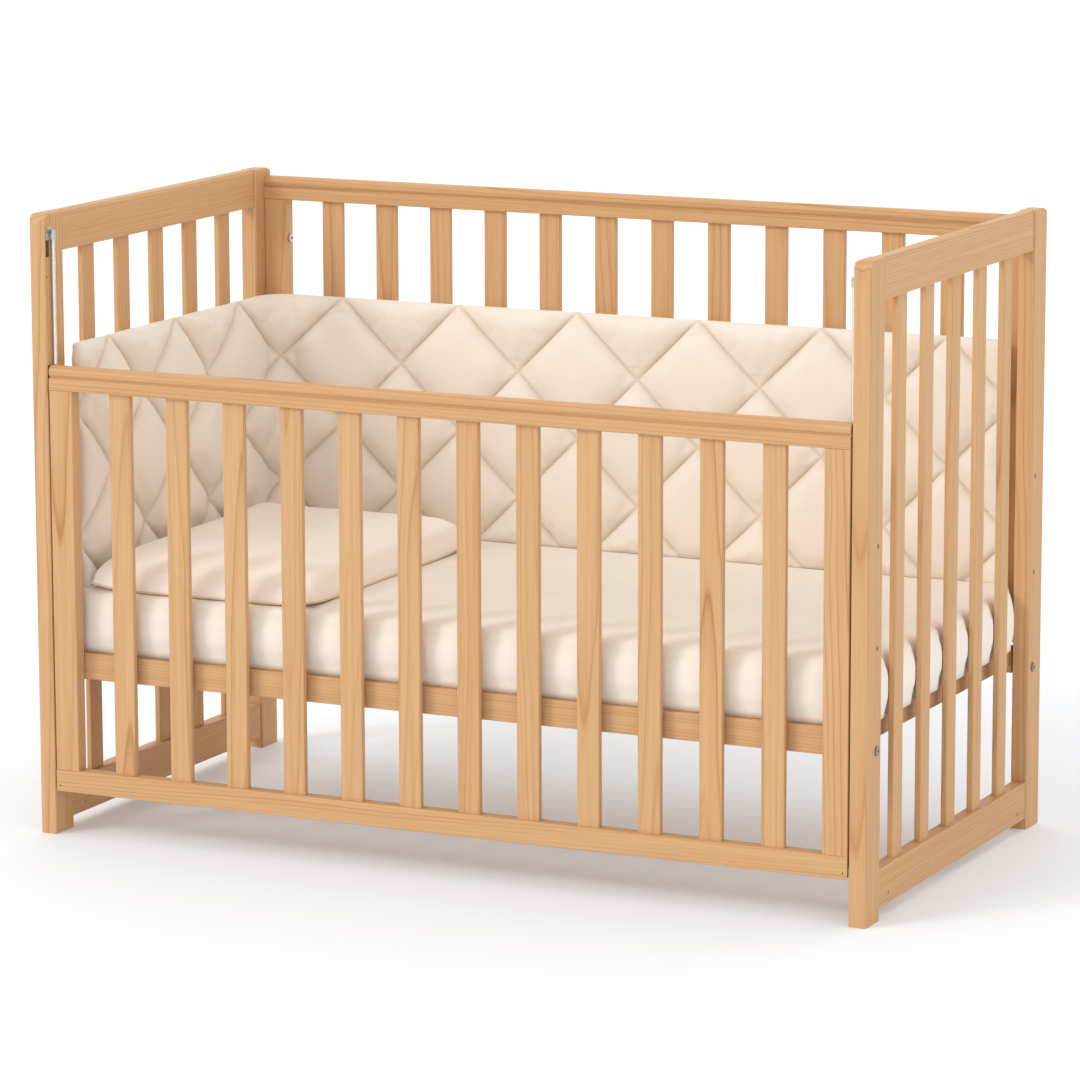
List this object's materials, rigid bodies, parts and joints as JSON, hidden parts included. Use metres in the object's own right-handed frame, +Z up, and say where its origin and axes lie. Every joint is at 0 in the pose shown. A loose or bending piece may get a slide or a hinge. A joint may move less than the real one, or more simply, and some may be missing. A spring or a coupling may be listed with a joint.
{
  "type": "baby crib",
  "caption": "Wooden baby crib with slatted ends and back, a front side that slides down on steel guide rods, a raised base, mattress, quilted bumper and pillow.",
  "frame": {"origin": "on the floor, below the middle of the frame", "axes": "+X along the length to the right of someone facing the drop side, +Y towards the back panel, +Z up"},
  "size_m": [1.285, 0.666, 0.898],
  "materials": {
    "wood": "clear satin lacquer over light hardwood with visible grain",
    "steel": "zinc plated, satin",
    "knob": "turned wood, satin lacquer",
    "sheet_fabric": "soft cream jersey sheet",
    "quilted_fabric": "soft cream cotton, quilted in diamonds",
    "pillow_fabric": "soft cream cotton"
  },
  "bodies": {
    "frame": {"post_front_left": "wood", "post_front_right": "wood", "post_back_left": "wood", "post_back_right": "wood", "end_top_rail_left": "wood", "end_top_rail_right": "wood", "end_low_rail_left": "wood", "end_low_rail_right": "wood", "end_slat_left_1": "wood", "end_slat_left_2": "wood", "end_slat_left_3": "wood", "end_slat_left_4": "wood", "end_slat_left_5": "wood", "end_slat_right_1": "wood", "end_slat_right_2": "wood", "end_slat_right_3": "wood", "end_slat_right_4": "wood", "end_slat_right_5": "wood", "back_panel_top_rail": "wood", "back_panel_low_rail": "wood", "back_panel_stile_left": "wood", "back_panel_stile_right": "wood", "back_panel_slats": "wood", "base_rail_front": "wood", "base_rail_back": "wood", "base_end_rails": "wood", "base_slats": "wood", "rail_dowels": "wood", "guide_rods": "steel", "rod_brackets": "steel", "bracket_screws": "steel", "strike_plates": "steel", "base_bolts": "steel", "base_barrel_nuts": "steel", "back_panel_bolts": "steel", "rail_pins": "steel"},
    "drop_side": {"drop_side_top_rail": "wood", "drop_side_low_rail": "wood", "drop_side_stile_left": "wood", "drop_side_stile_right": "wood", "drop_side_slat_1": "wood", "drop_side_slat_2": "wood", "drop_side_slat_3": "wood", "drop_side_slat_4": "wood", "drop_side_slat_5": "wood", "drop_side_slat_6": "wood", "drop_side_slat_7": "wood", "drop_side_slat_8": "wood", "drop_side_slat_9": "wood", "drop_side_slat_10": "wood", "drop_side_slat_11": "wood", "drop_side_slat_12": "wood", "latch_springs": "steel"},
    "latch_left": {"latch_bolt_left": "steel", "latch_knob_left": "knob"},
    "latch_right": {"latch_bolt_right": "steel", "latch_knob_right": "knob"},
    "mattress": {"mattress": "sheet_fabric", "bumper": "quilted_fabric"},
    "pillow": {"pillow": "pillow_fabric"}
  },
  "joints": [
    {"name": "drop_side_slide", "type": "slide", "parent": "frame", "child": "drop_side", "axis": [0, 0, 1], "range_m": [0, 0.178]},
    {"name": "latch_left_slide", "type": "slide", "parent": "drop_side", "child": "latch_left", "axis": [-1, 0, 0], "range_m": [0, 0.009], "stiffness_N_per_m": 250, "springref_m": 0.014},
    {"name": "latch_right_slide", "type": "slide", "parent": "drop_side", "child": "latch_right", "axis": [1, 0, 0], "range_m": [0, 0.009], "stiffness_N_per_m": 250, "springref_m": 0.014},
    {"name": "mattress_lift", "type": "slide", "parent": "frame", "child": "mattress", "axis": [0, 0, 1], "range_m": [0, 0.64]},
    {"name": "pillow_lift", "type": "slide", "parent": "mattress", "child": "pillow", "axis": [0, 0, 1], "range_m": [0, 0.5]}
  ]
}
